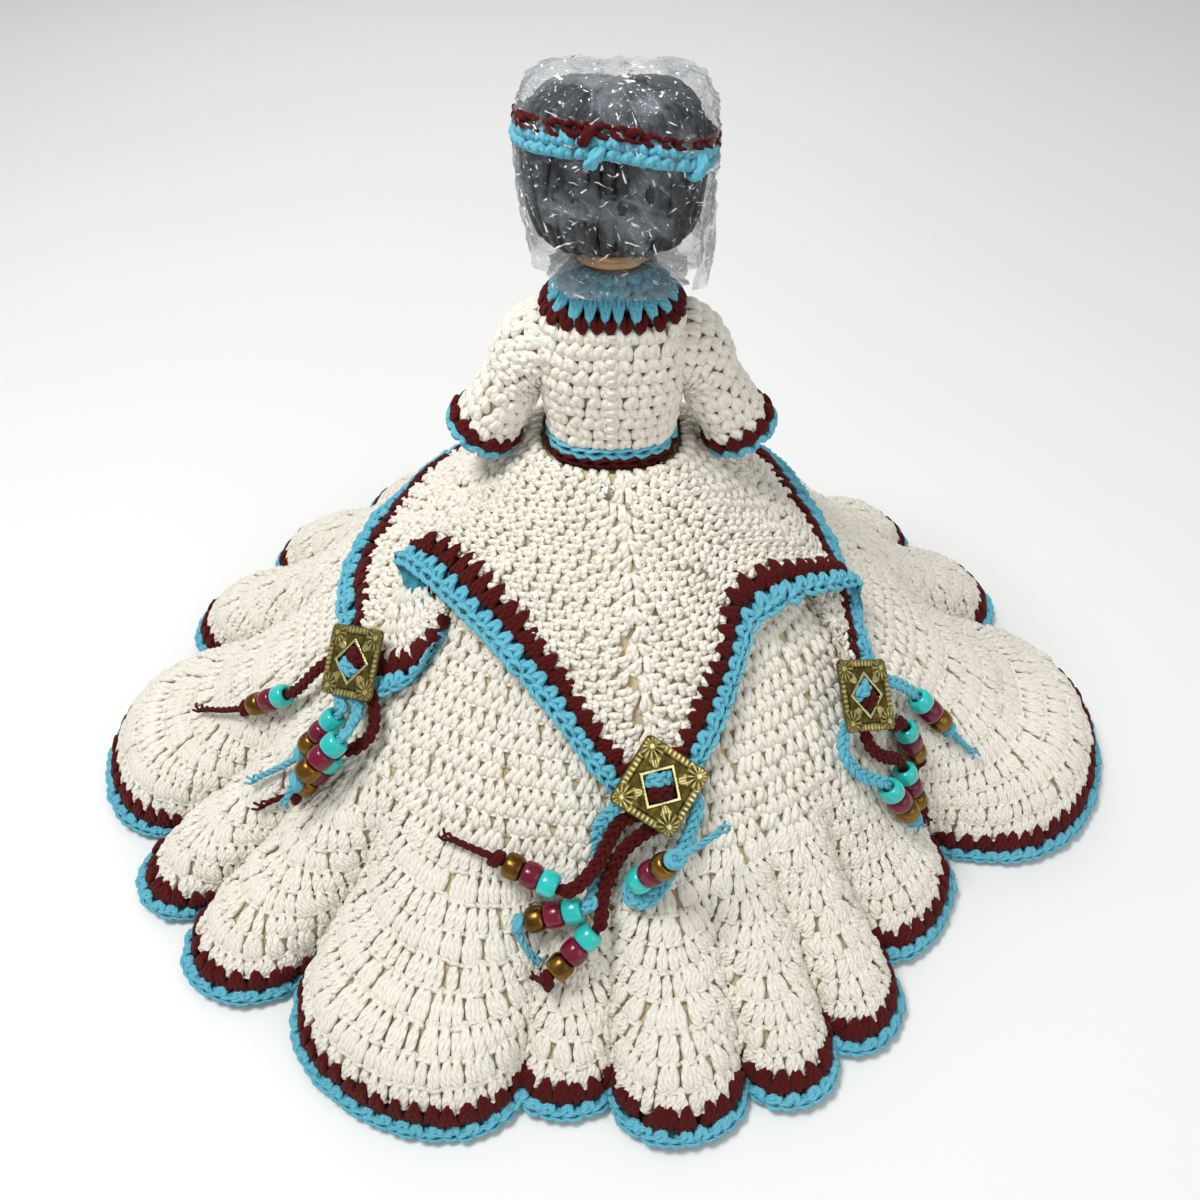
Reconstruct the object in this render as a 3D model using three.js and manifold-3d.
// Crochet-dressed craft doll, standing, with its skirt spread on the floor.
// Millimetres. X is the doll's left, Y its back, Z up; the origin is on the floor under the waist.
// Azimuths are in degrees from the back (+Y) toward the doll's left (+X).
import * as THREE from "three";
import Module from "manifold-3d";
import { mergeVertices } from "three/addons/utils/BufferGeometryUtils.js";

const wasm = await Module();
wasm.setup();

const DEG = Math.PI / 180;

// Clearances
const GAP = 0.3; // between pieces that touch
const LOOSE = 1.5; // between the skirt and the cloth that lies on it

// Cloth
const CLOTH = 3.2; // thickness of the skirt's crochet
const SLEEVE_CLOTH = 2.4;
const BODICE_CLOTH = 2.8;

// Skirt
const WAIST_Z = 153.3;
const WAIST_HALF_WIDTH = 21;
const WAIST_HALF_DEPTH = 18.5;
const HEM_MEAN_BACK = 176;
const HEM_MEAN_SIDE = 192;
const SKIRT_SLOPE = Math.hypot(HEM_MEAN_BACK - WAIST_HALF_DEPTH, WAIST_Z);
const FLOUNCE_AT = 132; // down the slope from the waist to the flounce's seam
const HEM_ROW = 6; // height of each coloured row along the hem
const FLUTES_FROM = 0.5; // share of the slope at which the flutes start to rise
const FLUTES_FULL = 0.88; // share of the slope at which they stand at full size
const FLUTE_PINCH = 0.1; // how far their sides close in on the valleys, as a share of their width
const STEP_AZIMUTH = 5; // widest facet round the skirt, in degrees

// Each flute starts at a valley [azimuth, radius] and swells to a crest radius before the next
const FLUTES = [
  { start: -177, valley: 163, crest: 182 },
  { start: -158, valley: 164, crest: 186 },
  { start: -140, valley: 166, crest: 190 },
  { start: -122, valley: 170, crest: 196 },
  { start: -104, valley: 172, crest: 207 },
  { start: -61, valley: 150, crest: 168 },
  { start: -39.5, valley: 156, crest: 179 },
  { start: -27, valley: 167, crest: 183 },
  { start: -15.5, valley: 169, crest: 185 },
  { start: 0, valley: 168, crest: 178 },
  { start: 10.5, valley: 172, crest: 192 },
  { start: 41.5, valley: 166, crest: 196 },
  { start: 57, valley: 177, crest: 201 },
  { start: 69, valley: 180, crest: 210 },
  { start: 98, valley: 172, crest: 200 },
  { start: 116, valley: 170, crest: 194 },
  { start: 134, valley: 166, crest: 188 },
  { start: 152, valley: 164, crest: 185 },
  { start: 168, valley: 163, crest: 181 },
];

// Overskirt: a four-cornered handkerchief. Each station of its edge is
// [azimuth, reach down the slope].
const OVERSKIRT_EDGE = [
  { azimuth: -180, reach: 116 },
  { azimuth: -150, reach: 90 },
  { azimuth: -120, reach: 74 },
  { azimuth: -100, reach: 73 },
  { azimuth: -84, reach: 88 },
  { azimuth: -70, reach: 98 },
  { azimuth: -62, reach: 107 },
  { azimuth: -56, reach: 117 },
  { azimuth: -51, reach: 101 },
  { azimuth: -46, reach: 78 },
  { azimuth: -37, reach: 70 },
  { azimuth: -28, reach: 84 },
  { azimuth: -18, reach: 101 },
  { azimuth: -8, reach: 118 },
  { azimuth: 2, reach: 103 },
  { azimuth: 12, reach: 86 },
  { azimuth: 24, reach: 73 },
  { azimuth: 42, reach: 68 },
  { azimuth: 48, reach: 84 },
  { azimuth: 54, reach: 102 },
  { azimuth: 61, reach: 114 },
  { azimuth: 72, reach: 103 },
  { azimuth: 90, reach: 96 },
  { azimuth: 120, reach: 80 },
  { azimuth: 150, reach: 90 },
];
// Where its cloth stands up in a fold: the crest, how high, and how far the fold runs each way
const OVERSKIRT_FOLDS = [
  { azimuth: 70, slope: 66, height: 6, spread: 24, above: 66, below: 32 },
  { azimuth: -72, slope: 80, height: 6, spread: 24, above: 80, below: 26 },
];
const OVERSKIRT_ROW = 6.5; // height of each coloured row, measured down the slope

// Waist rows
const WAIST_SIDES = 26;
const ROW_HEIGHT = 3.1;
const ROW_CLOTH = 3.6;
const ROW_STEP = 0.5; // the upper row is this much narrower than the lower one, all round
const ROW_TAPER = 0.4; // and each narrows upward by this much
const WAIST_ROWS_BASE = 154.9;
const WAIST_ROW_HALF_WIDTH = 22;
const WAIST_ROW_HALF_DEPTH = 19.4;

// Shoulder joint and sleeve
const ARMHOLE_Z = 190;
const ARMHOLE_RADIUS = 9.6;
const SLEEVE_TOP_RADIUS = ARMHOLE_RADIUS + SLEEVE_CLOTH;
const BODICE_SIDE = 24.1; // the bodice's widest half width
const SLEEVE_SIDE = BODICE_SIDE + GAP;
const SLEEVE_TURN = 62; // degrees that the sleeve turns down from the shoulder
const SLEEVE_LENGTH = 22; // from the end of that turn to the edge of the cuff
const SLEEVE_NARROW = 8;
const SLEEVE_SIDES = 16;
const CUFF_RADIUS = 10;
const SLEEVE_DEPTH = 11.4;
const CUFF_ROW = 3.2;
const ARM_RADIUS = 4.9;

// Doll
const TORSO_SIDE = 20.3; // half width of the torso at the shoulder joint
const NECK_RADIUS = 8.5;
const NECK_JOINT_Z = 214;
const HIP_Z = 124;
const HIP_X = 10;
const PELVIS_HALF_WIDTH = 2;
const THIGH_RADIUS = HIP_X - PELVIS_HALF_WIDTH - GAP;

// Head dress
const HEADBAND_HEIGHT = 8;
const HEADBAND_THICK = 2.4;
const FILM = 0.8;
const FILM_NECK_Z = 225;
const RUBBER_BAND_RADIUS = 1.1;

// Conchos and tassels
const CONCHO_SIDE = 25.4;
const CONCHO_THICK = 1;
const CONCHO_CORNER = 2;
const CONCHO_HOLE = 10.2;
const CORD_RADIUS = 1.8;
const CORD_SIDES = 8;
const BEAD_LENGTH = 6.5;
const BEAD_RADIUS = 4.5;
const BEAD_END_RADIUS = 3.6;
const BEAD_BORE = 2.3;
const BEADS_PER_STRAND = 3;
const BEAD_SIDES = 8;
const STACK_LENGTH = BEAD_LENGTH * BEADS_PER_STRAND;

// Lifts above the middle of the skirt's cloth
const OVERSKIRT_MIDDLE = CLOTH + LOOSE;
const OVERSKIRT_TOP = OVERSKIRT_MIDDLE + CLOTH / 2;
const UNDER_PLATE = OVERSKIRT_TOP + 3 * GAP + CORD_RADIUS;
const PLATE_BOTTOM = UNDER_PLATE + CORD_RADIUS + GAP;
const IN_HOLE = PLATE_BOTTOM + CONCHO_THICK / 2;

const colours = {
  ivory: { color: 0xede8da, roughness: 0.95, metalness: 0 },
  maroon: { color: 0x5a1412, roughness: 0.95, metalness: 0 },
  turquoise: { color: 0x76c6da, roughness: 0.95, metalness: 0 },
  skin: { color: 0xc89a78, roughness: 0.45, metalness: 0 },
  hair: { color: 0x23272c, roughness: 0.6, metalness: 0 },
  film: { color: 0xe8eef0, roughness: 0.08, metalness: 0 },
  rubber: { color: 0xc49a6c, roughness: 0.7, metalness: 0 },
  brass: { color: 0x8c8050, roughness: 0.35, metalness: 1 },
  bead: { color: 0x1cc5be, roughness: 0.15, metalness: 0 },
  snap: { color: 0xb8b4a8, roughness: 0.3, metalness: 1 },
};

const doll = new THREE.Group();

// A named piece of one colour
function addPiece(name, geometry, colour, parent = doll) {
  const mesh = new THREE.Mesh(geometry, new THREE.MeshStandardMaterial(colours[colour]));
  mesh.name = name;
  parent.add(mesh);
  return mesh;
}

// A geometry from points and triangles, turned so that its faces point out
function solid(points, faces) {
  let volume = 0;
  for (let i = 0; i < faces.length; i += 3) {
    const [a, b, c] = [points[faces[i]], points[faces[i + 1]], points[faces[i + 2]]];
    volume += a.dot(b.clone().cross(c));
  }
  const order = volume < 0 ? [0, 2, 1] : [0, 1, 2];
  const index = faces.map((_, i) => faces[i - (i % 3) + order[i % 3]]);
  const geometry = new THREE.BufferGeometry();
  const coordinates = points.flatMap((p) => p.toArray());
  geometry.setAttribute("position", new THREE.Float32BufferAttribute(coordinates, 3));
  geometry.setIndex(index);
  geometry.computeVertexNormals();
  return geometry;
}

// A skin over rings of equally many points: joined last to first, or closed by a cap at each end
function skin(rings, closed = false) {
  const count = rings[0].length;
  const points = rings.flat();
  const faces = [];
  const bands = closed ? rings.length : rings.length - 1;
  for (let band = 0; band < bands; band++) {
    const low = band * count;
    const high = ((band + 1) % rings.length) * count;
    for (let i = 0; i < count; i++) {
      const next = (i + 1) % count;
      faces.push(low + i, low + next, high + next, low + i, high + next, high + i);
    }
  }
  if (!closed) {
    for (const first of [0, (rings.length - 1) * count]) {
      const middle = new THREE.Vector3();
      for (let i = 0; i < count; i++) middle.add(points[first + i]);
      points.push(middle.divideScalar(count));
      for (let i = 0; i < count; i++) {
        const next = (i + 1) % count;
        const [a, b] = first === 0 ? [next, i] : [i, next];
        faces.push(first + a, first + b, points.length - 1);
      }
    }
  }
  return solid(points, faces);
}

// An oval of points round a centre: an ellipse at a power of 2, and squarer above
function oval(centre, u, halfU, v, halfV, count, power = 2) {
  const shaped = (share) => Math.sign(share) * Math.abs(share) ** (2 / power);
  return Array.from({ length: count }, (_, i) => {
    const angle = (i / count) * 2 * Math.PI;
    return centre
      .clone()
      .addScaledVector(u, halfU * shaped(Math.cos(angle)))
      .addScaledVector(v, halfV * shaped(Math.sin(angle)));
  });
}

const X = new THREE.Vector3(1, 0, 0);
const Y = new THREE.Vector3(0, 1, 0);

// The body's sections are round where they are narrow and squarer where they are wide
const ROUND_TO = 10; // half width up to which they are round
const SQUARE_FROM = 18; // half width from which they are squarest
function sectionPower(halfWidth) {
  const share = (halfWidth - ROUND_TO) / (SQUARE_FROM - ROUND_TO);
  return 2 + Math.min(1, Math.max(0, share));
}

// A level section [z, half width, half depth, shift in x, shift in y], grown all round
function level([z, halfWidth, halfDepth, x = 0, y = 0], count, grow = 0) {
  const centre = new THREE.Vector3(x, y, z);
  const power = sectionPower(halfWidth);
  return oval(centre, X, halfWidth + grow, Y, halfDepth + grow, count, power);
}

// A solid lofted through level sections
function stack(levels, count) {
  return skin(levels.map((one) => level(one, count)));
}

// A tube of cloth through level sections, open above and below
function sock(levels, cloth, count) {
  const outer = levels.map((one) => level(one, count));
  const inner = levels.map((one) => level(one, count, -cloth)).reverse();
  return skin([...outer, ...inner], true);
}

// A limb through stations [x, y, z, half width, half thickness]
function limb(stations, count) {
  const centres = stations.map(([x, y, z]) => new THREE.Vector3(x, y, z));
  const rings = stations.map(([, , , halfWidth, halfThick], i) => {
    const before = centres[Math.max(i - 1, 0)];
    const after = centres[Math.min(i + 1, centres.length - 1)];
    const along = after.clone().sub(before).normalize();
    const thick = along.clone().cross(Math.abs(along.x) > 0.9 ? Y : X).normalize();
    const wide = thick.clone().cross(along).normalize();
    return oval(centres[i], wide, halfWidth, thick, halfThick, count);
  });
  return skin(rings);
}

function toManifold(geometry) {
  const bare = geometry.clone();
  bare.deleteAttribute("normal");
  bare.deleteAttribute("uv");
  const merged = mergeVertices(bare, 1e-4);
  return new wasm.Manifold(new wasm.Mesh({
    numProp: 3,
    vertProperties: new Float32Array(merged.attributes.position.array),
    triVerts: new Uint32Array(merged.index.array),
  }));
}

function toGeometry(manifold) {
  const mesh = manifold.getMesh();
  const geometry = new THREE.BufferGeometry();
  geometry.setAttribute("position", new THREE.Float32BufferAttribute(mesh.vertProperties, mesh.numProp));
  geometry.setIndex(Array.from(mesh.triVerts));
  geometry.computeVertexNormals();
  return geometry;
}

// The dress surface

function outward(azimuth) {
  return new THREE.Vector3(Math.sin(azimuth * DEG), Math.cos(azimuth * DEG), 0);
}

// Radius of an oval with the given half width (X) and half depth (Y)
function ovalRadius(azimuth, halfWidth, halfDepth, power = 2) {
  const { x, y } = outward(azimuth);
  return (Math.abs(x / halfWidth) ** power + Math.abs(y / halfDepth) ** power) ** (-1 / power);
}

// The flutes at full size: their radius, and the turn that closes their sides in on the valleys.
// The valleys are round high on the skirt and sharp at the hem.
function fluteAt(azimuth, share) {
  const turn = ((azimuth - FLUTES[0].start) % 360 + 360) % 360;
  const starts = FLUTES.map(({ start }) => start - FLUTES[0].start);
  const current = starts.findLastIndex((start) => start <= turn);
  const flute = FLUTES[current];
  const next = FLUTES[(current + 1) % FLUTES.length];
  const end = current + 1 < FLUTES.length ? starts[current + 1] : 360;
  const width = end - starts[current];
  const t = (turn - starts[current]) / width;
  const valley = flute.valley + (next.valley - flute.valley) * t;
  const swell = flute.crest - (flute.valley + next.valley) / 2;
  return {
    radius: valley + swell * Math.sin(Math.PI * t) ** (2 - 1.2 * share ** 2),
    pinch: -FLUTE_PINCH * width * Math.sin(2 * Math.PI * t),
  };
}

// How far the flutes have risen at a share of the slope
function fluteRise(share) {
  return THREE.MathUtils.smoothstep(share, FLUTES_FROM, FLUTES_FULL);
}

// A point on the dress: down the slope from the waist, lifted off the middle of the skirt's cloth
function dressPoint(azimuth, slope, lift = 0) {
  const share = slope / SKIRT_SLOPE;
  const power = sectionPower(WAIST_HALF_WIDTH);
  const waist = ovalRadius(azimuth, WAIST_HALF_WIDTH, WAIST_HALF_DEPTH, power);
  const mean = ovalRadius(azimuth, HEM_MEAN_SIDE, HEM_MEAN_BACK);
  const flute = fluteAt(azimuth, share);
  const rise = fluteRise(share);
  const radius = waist + (mean - waist) * share + (flute.radius - mean) * rise + lift * Math.SQRT1_2;
  return outward(azimuth + flute.pinch * rise)
    .multiplyScalar(radius)
    .setZ(WAIST_Z * (1 - share) + lift * Math.SQRT1_2);
}

const fluteAzimuths = FLUTES.flatMap(({ start }, i) => {
  const end = i + 1 < FLUTES.length ? FLUTES[i + 1].start : FLUTES[0].start + 360;
  const steps = Math.max(3, Math.ceil((end - start) / STEP_AZIMUTH));
  return Array.from({ length: steps }, (_, k) => start + ((end - start) * k) / steps);
});

// The shares at which an evenly divided length is cut
function even(bands) {
  return Array.from({ length: bands + 1 }, (_, k) => k / bands);
}

// A round of cloth between two distances down the slope, in rows at shares of the way between them
function round(azimuths, from, to, rows, liftAt, cloth) {
  const ring = (t, side) => azimuths.map((azimuth) => {
    const slope = from(azimuth) + (to(azimuth) - from(azimuth)) * t;
    return dressPoint(azimuth, slope, liftAt(azimuth, slope) + (side * cloth) / 2);
  });
  const outer = rows.map((t) => ring(t, 1));
  const inner = rows.map((t) => ring(t, -1)).reverse();
  return skin([...outer, ...inner], true);
}

const unlifted = () => 0;
const always = (slope) => () => slope;
const UPPER_ROWS = [0, (FLUTES_FROM * SKIRT_SLOPE) / FLOUNCE_AT, 1]; // straight until the flutes rise
const HEM_MAROON_AT = SKIRT_SLOPE - 2 * HEM_ROW;
const HEM_TURQUOISE_AT = SKIRT_SLOPE - HEM_ROW;

addPiece(
  "skirt_upper",
  round(fluteAzimuths, always(0), always(FLOUNCE_AT), UPPER_ROWS, unlifted, CLOTH),
  "ivory",
);
addPiece(
  "flounce",
  round(fluteAzimuths, always(FLOUNCE_AT + GAP), always(HEM_MAROON_AT), even(3), unlifted, CLOTH),
  "ivory",
);
addPiece(
  "hem_row_maroon",
  round(fluteAzimuths, always(HEM_MAROON_AT + GAP), always(HEM_TURQUOISE_AT), even(1), unlifted, CLOTH),
  "maroon",
);

// The last row is cut level where it stands on the floor
function hemOnFloor() {
  const top = (side) => fluteAzimuths.map(
    (azimuth) => dressPoint(azimuth, HEM_TURQUOISE_AT + GAP, (side * CLOTH) / 2),
  );
  const foot = (side) => fluteAzimuths.map(
    (azimuth) => dressPoint(azimuth, SKIRT_SLOPE)
      .add(outward(azimuth).multiplyScalar(side * CLOTH * Math.SQRT1_2)),
  );
  return skin([top(1), foot(1), foot(-1), top(-1)], true);
}
addPiece("hem_row_turquoise", hemOnFloor(), "turquoise");

// Overskirt

const edgeAzimuths = OVERSKIRT_EDGE.flatMap(({ azimuth }, i) => {
  const next = OVERSKIRT_EDGE[i + 1]?.azimuth ?? OVERSKIRT_EDGE[0].azimuth + 360;
  const steps = Math.max(1, Math.round((next - azimuth) / 6));
  return Array.from({ length: steps }, (_, k) => azimuth + ((next - azimuth) * k) / steps);
});

// How far down the slope the overskirt reaches, between the stations of its edge
function reach(azimuth) {
  const turn = ((azimuth + 180) % 360 + 360) % 360 - 180;
  const current = OVERSKIRT_EDGE.findLastIndex((one) => one.azimuth <= turn + 1e-9);
  const here = OVERSKIRT_EDGE[current];
  const next = OVERSKIRT_EDGE[current + 1] ?? { ...OVERSKIRT_EDGE[0], azimuth: 180 };
  const t = (turn - here.azimuth) / (next.azimuth - here.azimuth);
  return here.reach + (next.reach - here.reach) * t;
}

const maroonAt = (azimuth) => reach(azimuth) - 2 * OVERSKIRT_ROW;
const turquoiseAt = (azimuth) => reach(azimuth) - OVERSKIRT_ROW;

// The overskirt lies close at the waist and looser below, and stands up in its folds
function overskirtLift(azimuth, slope) {
  const loose = (LOOSE - GAP) * Math.min(1, 6 * slope / reach(azimuth));
  const swell = (share) => Math.max(0, 1 - Math.abs(share)) ** 2 * (1 + 2 * Math.abs(share));
  const folds = OVERSKIRT_FOLDS.map((fold) => {
    const down = slope - fold.slope;
    return fold.height * swell((azimuth - fold.azimuth) / fold.spread)
      * swell(down / (down < 0 ? fold.above : fold.below));
  });
  return CLOTH + GAP + loose + Math.max(...folds);
}

addPiece(
  "overskirt",
  round(edgeAzimuths, always(0), (a) => maroonAt(a) - GAP, even(3), overskirtLift, CLOTH),
  "ivory",
);
addPiece(
  "overskirt_row_maroon",
  round(edgeAzimuths, maroonAt, (a) => turquoiseAt(a) - GAP, even(1), overskirtLift, CLOTH),
  "maroon",
);
addPiece(
  "overskirt_row_turquoise",
  round(edgeAzimuths, turquoiseAt, reach, even(1), overskirtLift, CLOTH),
  "turquoise",
);

// Waist rows: maroon below, turquoise above, between the skirt and the bodice

const WAIST_TURQUOISE_BASE = WAIST_ROWS_BASE + ROW_HEIGHT + GAP;
const BODICE_BASE = WAIST_TURQUOISE_BASE + ROW_HEIGHT + GAP;

function waistRow(base, halfWidth, halfDepth) {
  return sock(
    [
      [base, halfWidth, halfDepth],
      [base + ROW_HEIGHT, halfWidth - ROW_TAPER, halfDepth - ROW_TAPER],
    ],
    ROW_CLOTH,
    WAIST_SIDES,
  );
}
addPiece(
  "waist_row_maroon",
  waistRow(WAIST_ROWS_BASE, WAIST_ROW_HALF_WIDTH, WAIST_ROW_HALF_DEPTH),
  "maroon",
);
addPiece(
  "waist_row_turquoise",
  waistRow(WAIST_TURQUOISE_BASE, WAIST_ROW_HALF_WIDTH - ROW_STEP, WAIST_ROW_HALF_DEPTH - ROW_STEP),
  "turquoise",
);

// Bodice, with an armhole on each side, and the two rows of its collar

const COLLAR_ROW = 4.1; // height of each row of the collar
const COLLAR_BASE = ARMHOLE_Z + 15;
const COLLAR_SPLIT = COLLAR_BASE + GAP + COLLAR_ROW;
const COLLAR_TOP = COLLAR_SPLIT + GAP + COLLAR_ROW;
const bodice = toManifold(sock(
  [
    [BODICE_BASE, 20.8, 18.2],
    [172, 22.3, 18.9],
    [184, BODICE_SIDE, 19.6],
    [196, BODICE_SIDE, 18.8],
    [COLLAR_BASE, 22, 16.6],
  ],
  BODICE_CLOTH,
  WAIST_SIDES,
));
const armholes = new THREE.CylinderGeometry(
  ARMHOLE_RADIUS,
  ARMHOLE_RADIUS,
  4 * BODICE_SIDE,
  SLEEVE_SIDES,
);
armholes.rotateZ(Math.PI / 2).translate(0, 0, ARMHOLE_Z);
addPiece("bodice", toGeometry(bodice.subtract(toManifold(armholes))), "ivory");
addPiece(
  "collar_row_maroon",
  sock([[COLLAR_BASE + GAP, 21.9, 16.5], [COLLAR_SPLIT, 17.6, 14.4]], BODICE_CLOTH, WAIST_SIDES),
  "maroon",
);
addPiece(
  "collar_row_turquoise",
  sock([[COLLAR_SPLIT + GAP, 17.3, 14.3], [COLLAR_TOP, 12.6, 12.2]], BODICE_CLOTH, WAIST_SIDES),
  "turquoise",
);

// Torso, with a pelvis block between the hips. Its waist lies just inside the waist rows.

const WAIST_INSET = ROW_STEP + ROW_TAPER + ROW_CLOTH + 2 * GAP;
const TORSO_WAIST_HALF_WIDTH = WAIST_ROW_HALF_WIDTH - WAIST_INSET;
const TORSO_WAIST_HALF_DEPTH = WAIST_ROW_HALF_DEPTH - WAIST_INSET;
const torsoLevels = [
  [HIP_Z + 10.2, 16.5, 13.5],
  [142, 17.6, 14.6],
  [155, TORSO_WAIST_HALF_WIDTH, TORSO_WAIST_HALF_DEPTH],
  [163, TORSO_WAIST_HALF_WIDTH, TORSO_WAIST_HALF_DEPTH],
  [174, 18.6, 15.4],
  [187, TORSO_SIDE, 16.2],
  [196, TORSO_SIDE, 15.3],
  [203, 17.5, 12.8],
  [207.5, 12, 10.2],
  [210, NECK_RADIUS, NECK_RADIUS],
  [NECK_JOINT_Z, NECK_RADIUS, NECK_RADIUS],
];
const pelvis = new THREE.BoxGeometry(2 * PELVIS_HALF_WIDTH, 15, 24);
pelvis.translate(0, 0, HIP_Z + 2);
addPiece("torso", toGeometry(toManifold(stack(torsoLevels, 22)).add(toManifold(pelvis))), "skin");

// Head, hair, headband and the film gathered over them by a rubber band

const HEAD_SIDES = 22;
const headGroup = new THREE.Group();
doll.add(headGroup);

const headLevels = [
  [NECK_JOINT_Z + GAP, NECK_RADIUS, NECK_RADIUS],
  [226.9, NECK_RADIUS, NECK_RADIUS],
  [229, 9.5, 11, 0, -1.5],
  [232, 14.5, 16, 0, -2.5],
  [237.5, 18.4, 19.2, 0, -2],
  [245, 20.4, 20.6, 0, -1],
  [254, 20.6, 20.8, 0, 0],
  [263, 17.6, 18.2, 0, 0.5],
  [270, 11, 11.5, 0, 0.5],
  [273, 4, 4, 0, 0.5],
];
addPiece("head", stack(headLevels, HEAD_SIDES), "skin", headGroup);

const hairLevels = [
  [229.3, 10.4, 10, 0, 0.5],
  [231.2, 17.6, 16.4, 0, 1],
  [234.5, 22, 20.4, 0, 1],
  [241, 24, 22.6, 0, 1],
  [251, 24.6, 23.4, 0, 1],
  [261, 23.6, 22.6, 0, 1],
  [270, 20, 19, 0, 1],
  [275, 14.6, 14, 0, 1],
  [277.4, 6, 6, 0, 1],
];
const scalp = skin(headLevels.map((one) => level(one, HEAD_SIDES, GAP)));
const faceOpening = new THREE.BoxGeometry(29, 24, 27);
faceOpening.translate(0, -20, 237.5);
const hair = toManifold(stack(hairLevels, HEAD_SIDES))
  .subtract(toManifold(scalp))
  .subtract(toManifold(faceOpening));
addPiece("hair", toGeometry(hair), "hair", headGroup);

// Half width, half depth and middle of the hair at a height
function hairAt(z) {
  const above = hairLevels.findIndex((one) => one[0] >= z);
  const [low, high] = [hairLevels[above - 1], hairLevels[above]];
  const t = (z - low[0]) / (high[0] - low[0]);
  return [low[1] + (high[1] - low[1]) * t, low[2] + (high[2] - low[2]) * t];
}

// The headband runs higher at the back and on the doll's left
const HEADBAND_Z = 257.5;
const HEADBAND_RISE_BACK = 5;
const HEADBAND_RISE_LEFT = 3.5;
function headbandRing(up, out) {
  return Array.from({ length: HEAD_SIDES }, (_, i) => {
    const azimuth = (i / HEAD_SIDES) * 360;
    const { x, y } = outward(azimuth);
    const z = HEADBAND_Z + HEADBAND_RISE_LEFT * x + HEADBAND_RISE_BACK * y + up;
    const [halfWidth, halfDepth] = hairAt(z);
    const radius = ovalRadius(azimuth, halfWidth, halfDepth, sectionPower(halfWidth)) + out;
    return new THREE.Vector3(radius * x, radius * y + 1, z);
  });
}
addPiece(
  "headband",
  skin(
    [
      headbandRing(-HEADBAND_HEIGHT / 2, 2.5 * GAP),
      headbandRing(-HEADBAND_HEIGHT / 2, 2.5 * GAP + HEADBAND_THICK),
      headbandRing(0, 3.5 * GAP + HEADBAND_THICK),
      headbandRing(HEADBAND_HEIGHT / 2, 2.5 * GAP + HEADBAND_THICK),
      headbandRing(HEADBAND_HEIGHT / 2, 2.5 * GAP),
      headbandRing(0, 3.5 * GAP),
    ],
    true,
  ),
  "turquoise",
  headGroup,
);

const FILM_GATHER = NECK_RADIUS + GAP + FILM;
const filmLevels = [
  [217.4, 21.5, 19, -3, 0],
  [220.5, 15, 14, -1.5, 0],
  [FILM_NECK_Z - 1.6, FILM_GATHER, FILM_GATHER],
  [FILM_NECK_Z + 1.6, FILM_GATHER, FILM_GATHER],
  [228.5, 20, 18.5, -1, -0.5],
  [232, 26, 24.2, -1, -0.5],
  [241, 28.8, 27.2, -0.8, 0],
  [258, 29.6, 28, -0.8, 0],
  [270, 29, 27, -0.8, 0],
  [276.5, 26, 24, -0.8, 0],
  [279.4, 19, 17, -0.8, 0],
];
const filmOuter = filmLevels.map((one) => level(one, HEAD_SIDES));
const filmInner = filmLevels.map(([z, ...rest], i) => {
  const drop = i === filmLevels.length - 1 ? FILM : 0;
  return level([z - drop, ...rest], HEAD_SIDES, -FILM);
});
addPiece("film_wrap", skin([...filmInner.reverse(), ...filmOuter]), "film", headGroup);

const bandPath = FILM_GATHER + GAP + RUBBER_BAND_RADIUS;
const rubberBand = new THREE.TorusGeometry(bandPath, RUBBER_BAND_RADIUS, 6, HEAD_SIDES);
rubberBand.translate(0, 0, FILM_NECK_Z);
addPiece("rubber_band", toGeometry(toManifold(rubberBand)), "rubber", headGroup);

// Arms and sleeves. The left one is built here and the right one is its mirror image.

function mirrored(geometry) {
  const copy = geometry.clone().scale(-1, 1, 1);
  const index = copy.index.array;
  for (let i = 0; i < index.length; i += 3) {
    [index[i + 1], index[i + 2]] = [index[i + 2], index[i + 1]];
  }
  copy.computeVertexNormals();
  return copy;
}

function addPair(name, geometry, colour, parents) {
  addPiece(`${name}_left`, geometry, colour, parents.left);
  addPiece(`${name}_right`, mirrored(geometry), colour, parents.right);
}

const armGroups = { left: new THREE.Group(), right: new THREE.Group() };
doll.add(armGroups.left, armGroups.right);

// Sleeve sections turn round the armpit, then run straight to the cuff
const armpit = new THREE.Vector3(SLEEVE_SIDE, 0, ARMHOLE_Z - SLEEVE_TOP_RADIUS);
const sleeveTurns = [
  { turn: 0, half: SLEEVE_TOP_RADIUS, depth: SLEEVE_TOP_RADIUS },
  { turn: SLEEVE_TURN / 3, half: 10, depth: 12 },
  { turn: (2 * SLEEVE_TURN) / 3, half: 8.6, depth: 11.8 },
  { turn: SLEEVE_TURN, half: SLEEVE_NARROW, depth: SLEEVE_DEPTH },
];
const sleeveAlong = new THREE.Vector3(1, 0, 0).applyAxisAngle(Y, SLEEVE_TURN * DEG);

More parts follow.
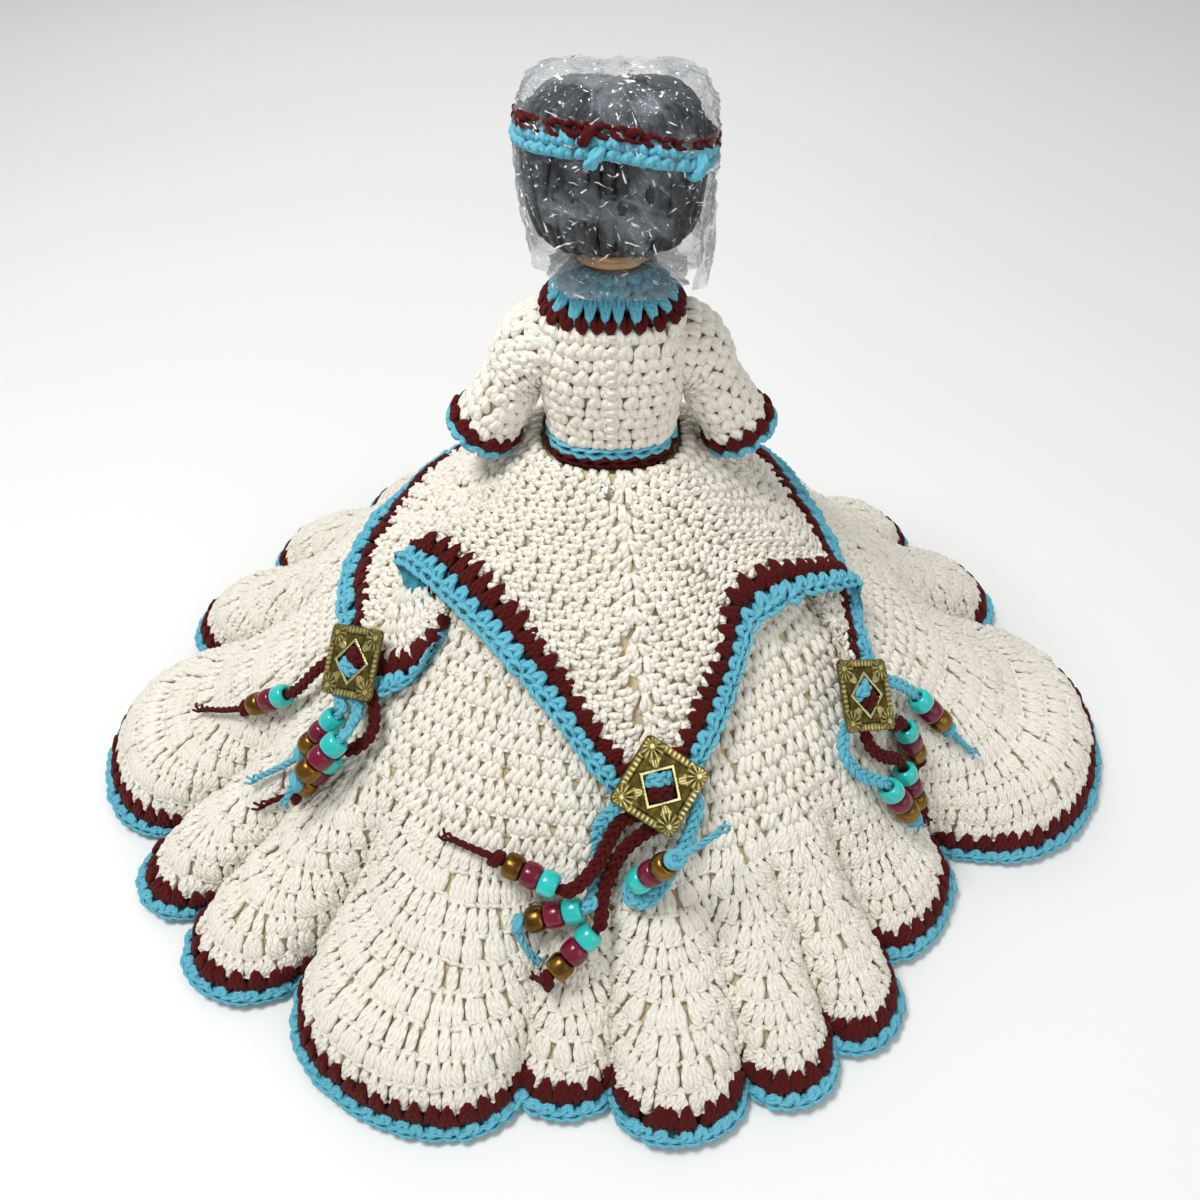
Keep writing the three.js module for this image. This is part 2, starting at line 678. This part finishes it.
function sleeveSection(turn, half, depth, along, inset) {
  const across = new THREE.Vector3(Math.sin(turn * DEG), 0, Math.cos(turn * DEG));
  const lowered = armpit.clone().setZ(armpit.z - 1.2 * (turn / (SLEEVE_TURN / 3)));
  const centre = lowered.addScaledVector(across, half).addScaledVector(sleeveAlong, along);
  const wider = along / SLEEVE_LENGTH;
  const halfHere = half + (CUFF_RADIUS - SLEEVE_NARROW) * wider;
  return oval(
    centre.addScaledVector(across, (halfHere - half) / 2),
    across,
    halfHere - inset,
    Y,
    depth - 0.8 * wider - inset,
    SLEEVE_SIDES,
  );
}
const last = sleeveTurns[sleeveTurns.length - 1];
const cuffSection = (along, inset) => sleeveSection(last.turn, last.half, last.depth, along, inset);
const sleeveEnd = SLEEVE_LENGTH - 2 * CUFF_ROW;
const sleeveRings = (inset) => [
  ...sleeveTurns.map(({ turn, half, depth }) => sleeveSection(turn, half, depth, 0, inset)),
  cuffSection(sleeveEnd / 2, inset),
  cuffSection(sleeveEnd, inset),
];
addPair(
  "sleeve",
  skin([...sleeveRings(0), ...sleeveRings(SLEEVE_CLOTH).reverse()], true),
  "ivory",
  armGroups,
);

function cuffRow(from, to) {
  const inset = SLEEVE_CLOTH;
  return skin(
    [cuffSection(from, 0), cuffSection(to, 0), cuffSection(to, inset), cuffSection(from, inset)],
    true,
  );
}
addPair("cuff_row_maroon", cuffRow(sleeveEnd + GAP, sleeveEnd + CUFF_ROW), "maroon", armGroups);
addPair(
  "cuff_row_turquoise",
  cuffRow(sleeveEnd + CUFF_ROW + GAP, SLEEVE_LENGTH),
  "turquoise",
  armGroups,
);

// The arm hangs from the shoulder inside the sleeve and its forearm points forward
const armStations = [
  [TORSO_SIDE + GAP, 0, ARMHOLE_Z, ARM_RADIUS, ARM_RADIUS],
  [24.5, 0, ARMHOLE_Z, ARM_RADIUS, ARM_RADIUS],
  [28.4, 0, ARMHOLE_Z - 3.4, ARM_RADIUS, ARM_RADIUS],
  [30.6, 0, ARMHOLE_Z - 8, ARM_RADIUS, ARM_RADIUS],
  [32.4, 0, ARMHOLE_Z - 13, ARM_RADIUS, ARM_RADIUS],
  [37.6, 0, 167, 4.5, 4.6],
  [41.2, 0, 160.5, 4.2, 4.3],
  [42.2, -1.8, 156, 4.2, 4.3],
  [42, -6.5, 152.3, 4.1, 4.2],
  [41, -14, 150, 3.8, 3.9],
  [39.4, -26, 148, 3.1, 3.2],
  [38.8, -31, 147.2, 4.2, 2.5],
  [38.4, -37, 146.2, 3.8, 1.9],
  [38.2, -42, 145.4, 2, 1.1],
];
addPair("arm", limb(armStations, 10), "skin", armGroups);

// Legs, with flat soles

const legGroups = { left: new THREE.Group(), right: new THREE.Group() };
doll.add(legGroups.left, legGroups.right);
const legLevels = [
  [0, 5.4, 12.8, HIP_X, -7.5],
  [3, 6, 13.4, HIP_X, -7.5],
  [7, 5.2, 11, HIP_X, -6],
  [11.5, 4.2, 7, HIP_X, -2.4],
  [18, 3.9, 4.4, HIP_X, 0],
  [30, 4.3, 4.8, HIP_X, 0],
  [48, 5.3, 6.2, HIP_X, 0.6],
  [64, 5.2, 5.8, HIP_X, 0],
  [72, 5.8, 6.2, HIP_X, -0.4],
  [98, 7.1, 7.6, HIP_X, 0],
  [HIP_Z - 3, THIGH_RADIUS, 8, HIP_X, 0],
  [HIP_Z + 3, THIGH_RADIUS - 0.2, 7.6, HIP_X, 0],
  [HIP_Z + 6.5, 5.4, 5.4, HIP_X, 0],
  [HIP_Z + 8.4, 2, 2, HIP_X, 0],
];
addPair("leg", stack(legLevels, 12), "skin", legGroups);

// Snap stud that closes the overskirt at the back of the waist

const SNAP_AT = { azimuth: 3, slope: 9 };

// Axes on the dress: X toward falling azimuths, Y up the slope, Z out of the cloth
function dressFrame(azimuth, slope, lift) {
  const frame = new THREE.Matrix4();
  const along = outward(azimuth + 90).negate();
  const up = outward(azimuth).multiplyScalar(-Math.SQRT1_2).setZ(Math.SQRT1_2);
  frame.makeBasis(along, up, along.clone().cross(up));
  return frame.setPosition(dressPoint(azimuth, slope, lift));
}

const snapLift = overskirtLift(SNAP_AT.azimuth, SNAP_AT.slope) + CLOTH / 2 + GAP;
const snapProfile = [[0, 0], [2.4, 0], [2.4, 0.6], [1.1, 0.9], [1.1, 1.8], [0, 2]];
const snap = new THREE.LatheGeometry(snapProfile.map(([r, h]) => new THREE.Vector2(r, h)), 12);
snap.rotateX(Math.PI / 2);
addPiece("waist_snap", toGeometry(toManifold(snap)), "snap")
  .applyMatrix4(dressFrame(SNAP_AT.azimuth, SNAP_AT.slope, snapLift));

// Conchos: square plates with rounded corners and a square hole turned an eighth of a turn

function conchoGeometry() {
  const half = CONCHO_SIDE / 2;
  const straight = half - CONCHO_CORNER;
  const plate = new THREE.Shape();
  plate.moveTo(-straight, -half);
  plate.absarc(straight, -straight, CONCHO_CORNER, -Math.PI / 2, 0);
  plate.absarc(straight, straight, CONCHO_CORNER, 0, Math.PI / 2);
  plate.absarc(-straight, straight, CONCHO_CORNER, Math.PI / 2, Math.PI);
  plate.absarc(-straight, -straight, CONCHO_CORNER, Math.PI, 1.5 * Math.PI);
  const reachOut = CONCHO_HOLE * Math.SQRT1_2;
  const hole = new THREE.Path();
  hole.moveTo(reachOut, 0).lineTo(0, -reachOut).lineTo(-reachOut, 0).lineTo(0, reachOut);
  hole.closePath();
  plate.holes.push(hole);
  return new THREE.ExtrudeGeometry(plate, {
    depth: CONCHO_THICK,
    bevelEnabled: false,
    curveSegments: 3,
  });
}

// Three beads side by side on their cord, as one turned piece with its bore along +Y
function beadStack() {
  const shoulder = 1;
  const profile = [new THREE.Vector2(BEAD_BORE, 0), new THREE.Vector2(BEAD_END_RADIUS, 0)];
  for (let bead = 0; bead < BEADS_PER_STRAND; bead++) {
    const start = bead * BEAD_LENGTH;
    profile.push(
      new THREE.Vector2(BEAD_RADIUS, start + shoulder),
      new THREE.Vector2(BEAD_RADIUS, start + BEAD_LENGTH - shoulder),
      new THREE.Vector2(BEAD_END_RADIUS, start + BEAD_LENGTH),
    );
  }
  profile.push(new THREE.Vector2(BEAD_BORE, STACK_LENGTH), new THREE.Vector2(BEAD_BORE, 0));
  return toGeometry(toManifold(new THREE.LatheGeometry(profile, BEAD_SIDES)));
}

// A tube whose sections stand exactly at the route's points
class Route extends THREE.Curve {
  constructor(points) {
    super();
    this.points = points;
  }

  getPointAt(share) {
    return this.points[Math.round(share * (this.points.length - 1))].clone();
  }

  getTangentAt(share) {
    const i = Math.round(share * (this.points.length - 1));
    const before = this.points[Math.max(i - 1, 0)];
    const after = this.points[Math.min(i + 1, this.points.length - 1)];
    return after.clone().sub(before).normalize();
  }
}

function cordTube(points) {
  const section = new THREE.Shape();
  for (let i = 0; i < CORD_SIDES; i++) {
    const angle = (i / CORD_SIDES) * 2 * Math.PI;
    const corner = [CORD_RADIUS * Math.cos(angle), CORD_RADIUS * Math.sin(angle)];
    if (i === 0) section.moveTo(...corner);
    else section.lineTo(...corner);
  }
  section.closePath();
  return new THREE.ExtrudeGeometry(section, {
    steps: points.length - 1,
    extrudePath: new Route(points),
  });
}

// The azimuth that the flutes' closing sides carry to the wanted one
function unpinched(wanted, slope) {
  const share = slope / SKIRT_SLOPE;
  let azimuth = wanted;
  for (let i = 0; i < 40; i++) {
    const reached = azimuth + fluteAt(azimuth, share).pinch * fluteRise(share);
    azimuth += 0.7 * (wanted - reached);
  }
  return azimuth;
}

// Tassels. Points are [toward rising azimuth, down the slope, lift] from the middle of the concho.
// Each strand runs out from under the plate, through its three beads and on to its tail.
const UNDER_SIDE = 10; // the cords keep their room this far out under the low side of a turned plate
const PLATE_REACH = 20; // along and down together, the points nearer than this lie under the plate
const ROOTS = {
  inner: [[4.4, 2.4, UNDER_PLATE - GAP], [7, 8, UNDER_PLATE - GAP]],
  outer: [[4.4, -2.4, UNDER_PLATE - GAP], [9.8, 1.5, UNDER_PLATE - GAP]],
};

const BACK_STRANDS = {
  maroon: [
    {
      run: [[13, 12, 8.3], [17.5, 19, 8.8], [22, 26, 10], [28, 31.5, 11.3]],
      beads: [[35, 33.5, 12], [52, 27, 10]],
      tail: [[64, 25, 7], [74, 25, 5]],
    },
    {
      run: [[-1, 12, UNDER_PLATE], [6, 15.5, 8.4], [12.5, 21, 8.5], [17.5, 29, 8], [22, 38.5, 8]],
      beads: [[25.5, 48, 8.5], [40, 60.5, 9]],
      tail: [[51, 68, 6.5]],
    },
  ],
  turquoise: [
    {
      run: [[16, 9, 8.6], [20, 15, 6], [21, 23, 4.2], [23, 31, 4.4]],
      beads: [[28.5, 40, 7.8], [46.5, 47.5, 7.8]],
      tail: [[51, 55, 6], [47, 63, 5]],
    },
    {
      run: [
        [-12, 8, 8.3],
        [-9.5, 16, 8.4],
        [-5, 23.5, 7.5],
        [1, 30.5, 7],
        [7, 36.5, 7],
        [12.5, 37, 7.5],
      ],
      beads: [[10.6, 31.4, 9], [0.5, 21.7, 22.5]],
      tail: [[-9, 17.5, 25], [-17, 14, 23]],
    },
  ],
};

const LEFT_STRANDS = {
  maroon: [
    {
      run: [[13, 9, 8.4], [15.5, 18, 9], [17, 27, 9]],
      beads: [[21.3, 36, 9], [31.5, 51, 9]],
      tail: [[41, 60, 7], [51, 68, 6.5]],
    },
    {
      run: [[-16, 7, 8], [-22, 14, 8], [-21.5, 22, 8]],
      beads: [[-17, 29, 8.5], [-15.5, 48, 8.5]],
      tail: [[-10, 58, 7], [-4, 66, 6.5]],
    },
  ],
  turquoise: [
    {
      run: [[2, 11.5, UNDER_PLATE], [-3, 14, UNDER_PLATE]],
      beads: [[-6.7, 19, 9], [-5, 38.2, 9]],
      tail: [[-1, 49, 7], [4, 58, 6.5]],
    },
    {
      run: [[-12, 12, 8.4], [-17, 15.5, 12.5]],
      beads: [[-21, 19, 18], [-20.5, 38, 18.8]],
      tail: [[-22, 48, 17]],
    },
  ],
};

const RIGHT_STRANDS = {
  maroon: [
    {
      run: [[8.5, 16, 8.6], [6, 24, 8.6], [-1, 34, 8.6]],
      beads: [[-4, 44, 9], [-4.5, 63.5, 9]],
      tail: [[-5, 73, 7.5], [-5, 81, 7]],
    },
    {
      run: [[-5, 16.5, 8.4], [-9, 24, 8.6]],
      beads: [[-14, 31, 9.4], [-17, 50, 9.4]],
      tail: [[-18, 60, 7.5], [-17, 68, 7]],
    },
  ],
  turquoise: [
    {
      run: [[16, 7, 8.6], [19.5, 14, 8.8], [17, 25, 8.8]],
      beads: [[10.5, 36, 9.5], [6.5, 55, 9.5]],
      tail: [[4, 64, 7.5], [2, 72, 7]],
    },
    {
      run: [[-16, 7, 8.6], [-20.5, 14, 8.8]],
      beads: [[-24, 23, 9], [-28, 42, 9]],
      tail: [[-30, 53, 7.5], [-31, 61, 7]],
    },
  ],
};

// roll turns a plate in its own plane, and turn faces it toward falling azimuths
const TASSELS = [
  {
    name: "back",
    azimuth: -8.5,
    slope: 106,
    roll: 6,
    turn: 8,
    inner: "maroon",
    strands: BACK_STRANDS,
  },
  {
    name: "left",
    azimuth: 60.5,
    slope: 99,
    roll: -10,
    turn: 8,
    inner: "turquoise",
    strands: LEFT_STRANDS,
  },
  {
    name: "right",
    azimuth: -55,
    slope: 106,
    roll: 8,
    turn: 0,
    inner: "maroon",
    strands: RIGHT_STRANDS,
  },
  {
    name: "front",
    azimuth: 180,
    slope: 108,
    roll: 0,
    turn: 0,
    inner: "maroon",
    strands: RIGHT_STRANDS,
  },
];

for (const { name, azimuth, slope, roll, turn, inner, strands } of TASSELS) {
  const raised = UNDER_SIDE * Math.sin(turn * DEG);
  const frame = dressFrame(azimuth, slope, PLATE_BOTTOM)
    .multiply(new THREE.Matrix4().makeRotationY(turn * DEG))
    .multiply(new THREE.Matrix4().makeTranslation(0, 0, raised - PLATE_BOTTOM));
  // A point of the tassel: in the plane of the plate near it, and along the cloth beyond
  const place = ([along, down, lift]) => {
    if (Math.abs(along) + Math.abs(down) < PLATE_REACH) {
      return new THREE.Vector3(-along, -down, lift).applyMatrix4(frame);
    }
    const radius = dressPoint(azimuth, slope + down).setZ(0).length();
    return dressPoint(unpinched(azimuth + along / radius / DEG, slope + down), slope + down, lift);
  };
  const plate = addPiece(`concho_${name}`, conchoGeometry(), "brass");
  plate.applyMatrix4(new THREE.Matrix4().makeRotationZ((45 + roll) * DEG));
  plate.applyMatrix4(new THREE.Matrix4().makeTranslation(0, 0, PLATE_BOTTOM).premultiply(frame));

  for (const colour of ["maroon", "turquoise"]) {
    const root = colour === inner ? ROOTS.inner : ROOTS.outer;
    const across = root[0][1];
    const sides = strands[colour].map(({ run, beads, tail }, side) => {
      const start = place(beads[0]);
      const direction = place(beads[1]).sub(start).normalize();
      const onAxis = (distance) => start.clone().addScaledVector(direction, distance);
      const stackPiece = addPiece(`beads_${name}_${colour}_${side + 1}`, beadStack(), "bead");
      stackPiece.position.copy(start);
      stackPiece.quaternion.setFromUnitVectors(Y, direction);
      const mirror = side === 0 ? 1 : -1;
      return [
        ...root.map(([along, down, lift]) => [along * mirror, down, lift]).map(place),
        ...run.map(place),
        onAxis(-2),
        onAxis(STACK_LENGTH / 2),
        onAxis(STACK_LENGTH + 2),
        ...tail.map(place),
      ];
    });
    const arch = [[1.6, across, IN_HOLE], [-1.6, across, IN_HOLE]].map(place);
    addPiece(
      `cord_${colour}_${name}`,
      cordTube([...sides[0].reverse(), ...arch, ...sides[1]]),
      colour,
    );
  }
}

export default doll;
